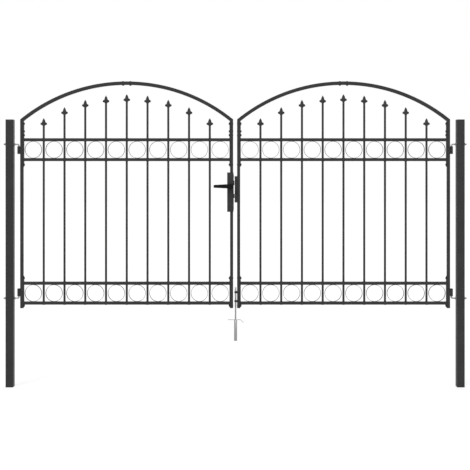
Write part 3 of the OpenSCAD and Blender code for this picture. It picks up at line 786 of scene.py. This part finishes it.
def arch_half():
    """Outer half of an arch: a leg, a mitred corner and the bent tube up to the joint at the top."""
    shape = Shape()
    eased = 1 - 2 * ARCH_EDGE / TUBE_W
    tall = ARCH_W / TUBE_W
    leg_x = leaf_mid - half_span
    stations = [
        (Vector((leg_x, 0, joint_z)), -X * eased, Y * eased),
        (Vector((leg_x, 0, joint_z + ARCH_EDGE)), -X, Y),
    ]
    outer_z = arc_rise(ARCH_RADIUS + ARCH_W / 2, half_span + TUBE_W / 2)
    inner_z = arc_rise(arch_inner_r, half_span - TUBE_W / 2)
    mitre_mid = Vector((leg_x, 0, arch_mid_z + (outer_z + inner_z) / 2))
    mitre = Vector((-TUBE_W, 0, outer_z - inner_z)) / TUBE_W
    stations.append((mitre_mid, mitre, Y))
    first = math.asin(half_span / ARCH_RADIUS) - ARCH_MITRE_ROOM / ARCH_RADIUS
    for i in range(ARCH_STEPS + 1):
        angle = first * (1 - i / ARCH_STEPS)
        out = -X * math.sin(angle) + Z * math.cos(angle)
        stations.append((Vector((leaf_mid, 0, arch_mid_z)) + out * ARCH_RADIUS, out * tall, Y))
    centre, out, across = stations[-1]
    stations[-1] = (centre - X * ARCH_EDGE, out, across)
    stations.append((centre, out * eased, across * eased))
    sweep(shape, stations, rounded_rect(TUBE_W, TUBE_W, TUBE_CORNER))
    return shape


# Hinges

def threaded_rod(shape, tail_x, end_x, z):
    """Rod along X with a screw thread, tapered at its tail."""
    rows = int((end_x - tail_x) / THREAD_PITCH * THREAD_ROWS)
    rings = []
    for row in range(rows + 1):
        x = tail_x + (end_x - tail_x) * row / rows
        taper = 1 - min(1, row / THREAD_TAPER_ROWS)
        ring = []
        for k in range(HOOK_SIDES):
            a = TURN * k / HOOK_SIDES
            phase = ((x - tail_x) / THREAD_PITCH - k / HOOK_SIDES) % 1
            radius = PIN_R - THREAD_DEPTH * (abs(2 * phase - 1) * THREAD_FLANK + taper)
            ring.append(Vector((x, radius * math.cos(a), z + radius * math.sin(a))))
        rings.append(ring)
    skin(shape, rings)


def hook(tail_x, rod_z, pin_end_z):
    """Threaded hook: the rod lies along X at rod_z and its pin turns towards pin_end_z."""
    shape = Shape()
    up = 1 if pin_end_z > rod_z else -1
    bend_x = hinge_x - HOOK_BEND_R
    thread_end = bend_x - HOOK_PLAIN
    threaded_rod(shape, tail_x, thread_end, rod_z)
    stations = [(Vector((thread_end - HOOK_LAP, 0, rod_z)), Y, Z * up)]
    bend_mid = Vector((bend_x, 0, rod_z + up * HOOK_BEND_R))
    for a in quarter_turn(BEND_STEPS):
        out = X * math.sin(a) - Z * up * math.cos(a)
        stations.append((bend_mid + out * HOOK_BEND_R, Y, -out))
    tip = Vector((hinge_x, 0, pin_end_z))
    for back, grow in PIN_END:
        stations.append((tip - Z * up * back, Y * grow, -X * grow))
    sweep(shape, stations, circle(PIN_R, HOOK_SIDES))
    return shape


def hook_nuts(rod_zs):
    """Washer and nut on both faces of the left post at each hook."""
    shape = Shape()
    post_low, post_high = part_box("left_post")
    bore = PIN_R - HOOK_NUT_LAP
    washer = [
        (bore, 0),
        (HOOK_WASHER_R, 0),
        (HOOK_WASHER_R, HOOK_WASHER_T - HOOK_NUT_EDGE),
        (HOOK_WASHER_R - HOOK_NUT_EDGE, HOOK_WASHER_T),
        (bore, HOOK_WASHER_T),
    ]
    top = HOOK_WASHER_T + HOOK_NUT_T
    nut = [
        (bore, HOOK_WASHER_T),
        (HOOK_NUT_FLAT / 2, HOOK_WASHER_T),
        (HOOK_NUT_CORNER_R, HOOK_WASHER_T + 2 * HOOK_NUT_EDGE),
        (HOOK_NUT_CORNER_R, top - 2 * HOOK_NUT_EDGE),
        (HOOK_NUT_FLAT / 2, top),
        (bore, top),
    ]
    for z in rod_zs:
        for face_x, out in ((post_low.x, -X), (post_high.x, X)):
            base = Vector((face_x, 0, z))
            turned(shape, base, out, washer, loop=True)
            turned(shape, base, out, nut, HEX, loop=True)
    return shape


def barrel(low, high):
    """Hinge barrel with eased ends and the two weld beads that hold it to the stile."""
    shape = Shape()
    length = high.z - low.z
    profile = [
        (BARREL_BORE_R + BARREL_EDGE, 0),
        (BARREL_R - BARREL_EDGE, 0),
        (BARREL_R, BARREL_EDGE),
        (BARREL_R, length - BARREL_EDGE),
        (BARREL_R - BARREL_EDGE, length),
        (BARREL_BORE_R + BARREL_EDGE, length),
        (BARREL_BORE_R, length - BARREL_EDGE),
        (BARREL_BORE_R, BARREL_EDGE),
    ]
    turned(shape, Vector((hinge_x, 0, low.z)), Z, profile, BARREL_SIDES, loop=True)
    seam_x = outer_x - TUBE_W / 2 - BARREL_WELD_GAP
    for side in (-1, 1):
        start = Vector((seam_x, side * BARREL_WELD_OUT, low.z + BARREL_WELD_SHORT))
        straight_weld(shape, start, start + Z * (length - 2 * BARREL_WELD_SHORT), BARREL_WELD)
    return shape


# Bolts

def bolt(shape, head, nut, along, head_size):
    """Coach bolt: a low dome at head, and a hexagon nut with a closed dome at nut, looking along."""
    head_r, head_h = head_size
    turned(shape, head + along * BOLT_SINK, -along, dome(head_r, head_h + BOLT_SINK), BOLT_SIDES)
    turned(shape, nut, along, WASHER_PROFILE, BOLT_SIDES)
    turned(shape, nut, along, NUT_PROFILE, HEX)
    crown = dome(ACORN_R, ACORN_H - NUT_H - ACORN_NECK)
    acorn = [(ACORN_R, NUT_H)] + [(radius, height + NUT_H + ACORN_NECK) for radius, height in crown]
    turned(shape, nut, along, acorn, BOLT_SIDES)


def leaf_bolts():
    """Bolts along both stiles and at the top of the arch of the left leaf."""
    shape = Shape()
    bolt_zs = (
        joint_z + JOINT_BOLT,
        joint_z - JOINT_BOLT,
        top_rail_z + RAIL_BOLT,
        upper_plate[0] + PLATE_END_BOLT,
        lower_plate[1] - PLATE_END_BOLT,
        lower_plate[0] + PLATE_FOOT_BOLT,
    )
    for x, inward in ((outer_x, X), (inner_x, -X)):
        for z in bolt_zs:
            middle = Vector((x, 0, z))
            face = inward * TUBE_W / 2
            bolt(shape, middle - face, middle + face + inward * END_PLATE_T, inward, STILE_HEAD)
    for side in (-1, 1):
        a = side * APEX_BOLT / ARCH_RADIUS
        out = X * math.sin(a) + Z * math.cos(a)
        centre = Vector((leaf_mid, 0, arch_mid_z)) + out * ARCH_RADIUS
        bolt(shape, centre + out * ARCH_W / 2, centre - out * ARCH_W / 2, -out, APEX_HEAD)
    return shape


# Post caps

def post_cap(low, high, up):
    """Moulded flange of a cap or a foot plug, with an eased rim."""
    shape = Shape()
    width = high.x - low.x
    centre = (low + high) / 2
    face_z = high.z if up > 0 else low.z
    rings = []
    for down, inset in CAP_ROWS:
        side = width - 2 * inset
        outline = rounded_rect(side, side, max(POST_CORNER - inset, POST_CORNER / 2))
        z = face_z - up * down
        rings.append([Vector((centre.x + a, centre.y + b, z)) for a, b in outline])
    skin(shape, rings)
    return shape


# Lock

def lock_case():
    """Case of the lock: a box with eased edges, open towards the face plate."""
    shape = Shape()
    low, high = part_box("lock_case")
    centre = (low + high) / 2
    rows = [
        (low.x + LOCK_WALL, LOCK_WALL),
        (high.x, LOCK_WALL),
        (high.x, LOCK_RIM_EDGE),
        (high.x - LOCK_RIM_EDGE, 0),
    ]
    for a in quarter_turn(LOCK_EDGE_STEPS):
        rows.append((low.x + LOCK_EDGE * (1 - math.sin(a)), LOCK_EDGE * (1 - math.cos(a))))
    rings = []
    for x, inset in rows:
        corner = max(LOCK_EDGE - inset, LOCK_EDGE * LEAST_CORNER)
        outline = rounded_rect(high.y - low.y - 2 * inset, high.z - low.z - 2 * inset, corner)
        rings.append([Vector((x, centre.y + a, centre.z + b)) for a, b in outline])
    skin(shape, rings)
    return shape


def cross_outline(arm_r, half_w):
    """Outline of a cross with four equal arms, as one point for each direction."""
    points = []
    for k in range(SCREW_SIDES):
        a = TURN * k / SCREW_SIDES
        off_arm = (a + math.pi / 4) % QUARTER - math.pi / 4
        reach = arm_r / math.cos(off_arm)
        if abs(off_arm) > 0:
            reach = min(reach, half_w / abs(math.sin(off_arm)))
        points.append((reach * math.cos(a), reach * math.sin(a)))
    return points


def screw_head(shape, place, out):
    """Raised screw head with a cross recess on a face that looks along out."""
    u = out.orthogonal().normalized()
    v = out.cross(u)
    crown = dome(SCREW_R, SCREW_RISE)[:SCREW_DOME_ROWS]
    floor = SCREW_FLOOR_SHARE * crown[-1][1]
    cross = cross_outline(SCREW_CROSS_R, SCREW_CROSS_HALF_W)
    outlines = [(circle(SCREW_R, SCREW_SIDES), -SCREW_RISE)]
    outlines += [(circle(radius, SCREW_SIDES), height) for radius, height in crown]
    outlines += [(circle(SCREW_LAND_R, SCREW_SIDES), SCREW_RISE), (cross, SCREW_RISE)]
    outlines += [(cross, floor), (circle(SCREW_FLOOR_R, SCREW_SIDES), floor)]
    skin(shape, [[place + out * height + u * a + v * b for a, b in ring] for ring, height in outlines])


def flattened(ratio):
    """Follows a ratio up to nearly 1 and then stays there, with a soft turn between."""
    return ratio / (1 + abs(ratio) ** LEVER_FLATNESS) ** (1 / LEVER_FLATNESS)


def lever_stations(length):
    """Distances along the grip from its axis, with half its height there."""
    root_r = LEVER_ROOT_H / 2
    tip_r = LEVER_TIP_H / 2
    taper = length - LEVER_TIP_ROUND
    arc = quarter_turn(LEVER_STEPS)
    stations = [(-root_r * math.cos(a), max(root_r * math.sin(a), LEVER_LEAST_R)) for a in arc]
    for i in range(1, LEVER_STEPS):
        t = i / LEVER_STEPS
        stations.append((taper * t, root_r + (tip_r - root_r) * t))
    for a in arc:
        half_h = tip_r - LEVER_TIP_ROUND * (1 - math.cos(a))
        stations.append((taper + LEVER_TIP_ROUND * math.sin(a), half_h))
    return stations


def lever_shape(neck_y, grip_y):
    """Front lever: a round neck and a tapering grip along -X, flat in front and behind."""
    shape = Shape()
    centre = mid("lever_spindle")
    length = centre.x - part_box("front_lever")[0].x
    neck_start = Vector((centre.x, neck_y, centre.z))
    neck_end = Vector((centre.x, grip_y, centre.z))
    rod(shape, neck_start, neck_end, LEVER_NECK_R, ROD_EDGE)
    half_t = LEVER_T / 2
    rings = []
    for along, radius in lever_stations(length):
        ring = []
        for a, b in circle(radius, LEVER_SIDES):
            ring.append(Vector((centre.x - along, grip_y + half_t * flattened(a / half_t), centre.z + b)))
        rings.append(ring)
    skin(shape, rings)
    return shape


def lever_rib(grip_y):
    """Raised rib along the middle of the grip's outer face."""
    shape = Shape()
    centre = mid("lever_spindle")
    face_y = grip_y - LEVER_T / 2
    start = Vector((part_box("front_lever")[0].x + RIB_FROM_TIP, face_y, centre.z))
    end = Vector((centre.x - RIB_FROM_AXIS, face_y, centre.z))
    box_bar(shape, start, end, Y, Z, RIB_T, RIB_W, RIB_EDGE, RIB_EDGE)
    return shape


def rose(face_y, out):
    """Round rose with a soft rim and a hole for the lever's neck."""
    shape = Shape()
    centre = mid("lever_spindle")
    hole_r = LEVER_NECK_R + LEVER_NECK_GAP
    profile = [(ROSE_R - inset, ROSE_T * share) for inset, share in ROSE_ROWS]
    profile += [(hole_r + ROSE_MOUTH, ROSE_T), (hole_r, ROSE_T - ROSE_MOUTH_DEPTH), (hole_r, 0)]
    turned(shape, Vector((centre.x, face_y, centre.z)), out, profile, ROSE_SIDES, loop=True)
    return shape


def key_cylinder():
    """Profile cylinder: a round core with a keyway in both faces over a narrow flat part."""
    shape = Shape()
    low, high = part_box("key_cylinder")
    centre_x = (low.x + high.x) / 2
    axis_z = high.z - KEY_R
    slot = rounded_rect(KEYWAY_W, KEYWAY_H, KEYWAY_CORNER, KEYWAY_STEPS)
    sides = len(slot)
    outlines = [
        (slot, KEYWAY_DEPTH),
        (slot, 0),
        (circle(KEY_PLUG_FACE_R, sides), 0),
        (circle(KEY_PLUG_R, sides), KEY_PLUG_EDGE),
        (circle(KEY_PLUG_R, sides), KEY_PLUG_STEP),
        (circle(KEY_R - KEY_EDGE, sides), KEY_PLUG_STEP),
        (circle(KEY_R, sides), KEY_PLUG_STEP + KEY_EDGE),
    ]
    rings = [[Vector((centre_x + a, low.y + y, axis_z + b)) for a, b in ring] for ring, y in outlines]
    rings += [[Vector((p.x, low.y + high.y - p.y, p.z)) for p in ring] for ring in rings[::-1]]
    skin(shape, rings)
    flat_low = Vector((centre_x - KEY_FLAT_W / 2, low.y + KEY_FLAT_STEP, low.z))
    flat_high = Vector((centre_x + KEY_FLAT_W / 2, high.y - KEY_FLAT_STEP, axis_z - KEY_FLAT_TOP))
    block(shape, flat_low, flat_high, KEY_EDGE)
    return shape


# Drop bolt

def drop_rod():
    """Drop bolt: a straight rod with a pointed tip, bent to the back into a handle."""
    shape = Shape()
    low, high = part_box("drop_bolt")
    x = (low.x + high.x) / 2
    handle_z = high.z - DROP_R
    stations = []
    for up, grow in DROP_TIP:
        stations.append((Vector((x, 0, low.z + up)), X * grow, Y * grow))
    bend_mid = Vector((x, DROP_BEND_R, handle_z - DROP_BEND_R))
    for a in quarter_turn(BEND_STEPS):
        out = -Y * math.cos(a) + Z * math.sin(a)
        stations.append((bend_mid + out * DROP_BEND_R, X, -out))
    for back, grow in DROP_HANDLE_END:
        stations.append((Vector((x, high.y - back, handle_z)), X * grow, -Z * grow))
    sweep(shape, stations, circle(DROP_R, DROP_SIDES))
    return shape


# Assembly

SIDES = ("left", "right")


def on_side(side, shape):
    """A shape of the left half of the gate, or its twin on the right half."""
    return shape if side == "left" else shape.mirrored(0, gate_mid)


def build_posts():
    for side in SIDES:
        dress(side + "_post", "coat")
        for name, up in (("_post_cap", 1), ("_post_foot_plug", -1)):
            low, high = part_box(side + name)
            piece(side + name + "_moulding", post_cap(low, high, up), "posts", "cap_plastic", side + name)


def build_hinges():
    tail_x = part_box("left_upper_hinge_hook")[0].x
    upper_rod_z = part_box("left_upper_hinge_hook")[1].z - PIN_R
    lower_rod_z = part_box("left_lower_hinge_hook")[0].z + PIN_R
    hooks = {
        "_upper_hinge_hook": hook(tail_x, upper_rod_z, upper_barrel_low.z + PIN_SHORT),
        "_lower_hinge_hook": hook(tail_x, lower_rod_z, lower_barrel_high.z - PIN_SHORT),
    }
    for name, shape in hooks.items():
        for side in SIDES:
            piece(side + name + "_threaded", on_side(side, shape), "posts", "zinc", side + name)
    nuts = hook_nuts((upper_rod_z, lower_rod_z))
    for side in SIDES:
        piece(side + "_hook_nuts", on_side(side, nuts), "posts", "zinc")
    barrels = {
        "_upper_hinge_barrel": barrel(upper_barrel_low, upper_barrel_high),
        "_lower_hinge_barrel": barrel(lower_barrel_low, lower_barrel_high),
    }
    for name, shape in barrels.items():
        for side in SIDES:
            piece(side + name + "_welded", on_side(side, shape), side + "_leaf", "coat", side + name)


def build_leaves():
    outer_half = arch_half()
    shapes = {
        "_spear_bars": spear_bars(),
        "_infill_rails": rails(),
        "_infill_end_plates": end_plates(),
        "_infill_rings": ring_bands(),
        "_infill_welds": infill_welds(),
        "_leaf_bolts": leaf_bolts(),
        "_arch_outer_tube": outer_half,
        "_arch_inner_tube": outer_half.mirrored(0, leaf_mid),
    }
    stands_for = {
        "_spear_bars": ("_infill_panel",),
        "_arch_outer_tube": ("_arch_outer_half",),
        "_arch_inner_tube": ("_arch_inner_half",),
    }
    for side in SIDES:
        for name, shape in shapes.items():
            nodes = [side + node for node in stands_for.get(name, ())]
            piece(side + name, on_side(side, shape), side + "_leaf", "coat", *nodes)
        dress(side + "_stile_plugs", "cap_plastic")
        dress(side + "_outer_stile", "coat")
    for node in ("left_inner_stile_upper", "left_inner_stile_lower", "right_inner_stile"):
        dress(node, "coat")


def build_lock():
    case_low, case_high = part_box("lock_case")
    grip_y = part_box("front_lever")[0].y + LEVER_T / 2
    lever = lever_shape(case_low.y - LEVER_CASE_GAP, grip_y)
    rib = lever_rib(grip_y)
    piece("lock_case_shell", lock_case(), "left_leaf", "coat", "lock_case")
    piece("front_lever_grip", lever, "levers", "lever_plastic", "front_lever")
    piece("back_lever_grip", lever.mirrored(1, 0), "levers", "lever_plastic", "back_lever")
    piece("front_lever_rib", rib, "levers", "lever_plastic")
    piece("back_lever_rib", rib.mirrored(1, 0), "levers", "lever_plastic")
    piece("front_rose_turned", rose(case_low.y, -Y), "left_leaf", "lever_plastic", "front_rose")
    piece("back_rose_turned", rose(case_high.y, Y), "left_leaf", "lever_plastic", "back_rose")
    piece("key_cylinder_core", key_cylinder(), "left_leaf", "dark_steel", "key_cylinder")
    dress("lever_spindle", "zinc")
    dress("lock_face_plate", "coat")
    dress("latch_bolt", "dark_steel")
    dress("dead_bolt", "dark_steel")
    dress("strike_box", "coat")
    soften("lock_face_plate", FACE_PLATE_EDGE)
    for node in ("latch_bolt", "dead_bolt", "strike_box"):
        soften(node, SMALL_EDGE)


def build_drop_bolt():
    piece("drop_bolt_rod", drop_rod(), "drop_rod", "zinc", "drop_bolt")
    dress("ground_sleeve", "zinc")
    dress("upper_bolt_guide", "coat")
    dress("lower_bolt_guide", "coat")
    for node in ("upper_bolt_guide", "lower_bolt_guide", "ground_sleeve"):
        soften(node, SMALL_EDGE)


def build_screws():
    """Screws of the face plate and the strike."""
    plate_low, plate_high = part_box("lock_face_plate")
    plate_screws = Shape()
    for z in (plate_low.z + PLATE_SCREW, plate_high.z - PLATE_SCREW):
        screw_head(plate_screws, Vector((plate_high.x, 0, z)), X)
    piece("lock_screws", plate_screws, "left_leaf", "dark_steel")
    strike_low, strike_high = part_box("strike_box")
    strike_screws = Shape()
    for z in (strike_low.z + STRIKE_LOW_SCREW, strike_high.z - STRIKE_HIGH_SCREW):
        screw_head(strike_screws, Vector((strike_low.x, 0, z)), -X)
    piece("strike_screws", strike_screws, "right_leaf", "dark_steel")


# Camera, light and floor

def make_camera():
    data = bpy.data.cameras.new("camera")
    data.lens = CAMERA_LENS
    data.sensor_width = CAMERA_SENSOR
    data.shift_y = PHOTO_SHIFT / PHOTO_W
    camera = bpy.data.objects.new("camera", data)
    camera.location = CAMERA_PLACE
    camera.rotation_euler = (QUARTER, 0, 0)
    scene.collection.objects.link(camera)
    scene.camera = camera


def seen_directly(tree):
    """1 for rays from the camera, a gloss or a clear surface, and 0 for those that gather light."""
    path = tree.nodes.new("ShaderNodeLightPath")
    total = path.outputs["Is Camera Ray"]
    for kind in ("Is Glossy Ray", "Is Transmission Ray"):
        most = tree.nodes.new("ShaderNodeMath")
        most.operation = "MAXIMUM"
        tree.links.new(total, most.inputs[0])
        tree.links.new(path.outputs[kind], most.inputs[1])
        total = most.outputs[0]
    return total


def make_world():
    """White where it is seen, and an even light for the gate."""
    world = bpy.data.worlds.new("studio")
    scene.world = world
    world.use_nodes = True
    tree = world.node_tree
    light = tree.nodes["Background"]
    light.inputs["Color"].default_value = (1, 1, 1, 1)
    light.inputs["Strength"].default_value = WORLD_LIGHT
    white = tree.nodes.new("ShaderNodeBackground")
    white.inputs["Color"].default_value = (1, 1, 1, 1)
    white.inputs["Strength"].default_value = 1
    mix = tree.nodes.new("ShaderNodeMixShader")
    tree.links.new(seen_directly(tree), mix.inputs["Fac"])
    tree.links.new(light.outputs["Background"], mix.inputs[1])
    tree.links.new(white.outputs["Background"], mix.inputs[2])
    tree.links.new(mix.outputs["Shader"], tree.nodes["World Output"].inputs["Surface"])


def make_lamp(name, towards, strength, softness):
    """Wide, soft light from one side; towards points from the gate to the light."""
    data = bpy.data.lights.new(name, "SUN")
    data.energy = strength
    data.angle = math.radians(softness)
    lamp = bpy.data.objects.new(name, data)
    lamp.location = Vector((gate_mid, 0, LAMP_AIM_Z)) + Vector(towards) * LAMP_DISTANCE
    lamp.rotation_euler = Vector(towards).to_track_quat("Z", "Y").to_euler()
    scene.collection.objects.link(lamp)


def floor_material():
    """Pale floor: mostly its own white where it is seen, so that only a soft shadow shows."""
    material, tree, shader = node_kit("pale_floor")
    shader.inputs["Base Color"].default_value = (FLOOR_GREY, FLOOR_GREY, FLOOR_GREY, 1)
    shader.inputs["Roughness"].default_value = FLOOR_ROUGHNESS
    shader.inputs["Specular IOR Level"].default_value = 0
    white = tree.nodes.new("ShaderNodeEmission")
    white.inputs["Strength"].default_value = FLOOR_WHITE
    share = tree.nodes.new("ShaderNodeMath")
    share.operation = "MULTIPLY"
    share.inputs[1].default_value = FLOOR_WHITE_SHARE
    tree.links.new(seen_directly(tree), share.inputs[0])
    mix = tree.nodes.new("ShaderNodeMixShader")
    tree.links.new(share.outputs[0], mix.inputs["Fac"])
    tree.links.new(shader.outputs["BSDF"], mix.inputs[1])
    tree.links.new(white.outputs["Emission"], mix.inputs[2])
    tree.links.new(mix.outputs["Shader"], tree.nodes["Material Output"].inputs["Surface"])
    return material


def make_floor():
    mesh = bpy.data.meshes.new("floor")
    corners = ((-1, -1), (1, -1), (1, 1), (-1, 1))
    points = [(gate_mid + a * FLOOR_REACH, b * FLOOR_REACH, 0) for a, b in corners]
    mesh.from_pydata(points, [], [(0, 1, 2, 3)])
    mesh.materials.append(floor_material())
    floor = bpy.data.objects.new("floor", mesh)
    scene.collection.objects.link(floor)


build_posts()
build_hinges()
build_leaves()
build_lock()
build_drop_bolt()
build_screws()

make_camera()
make_world()
make_floor()
for lamp_name, lamp_values in LAMPS.items():
    make_lamp(lamp_name, *lamp_values)
scene.view_settings.view_transform = "Standard"
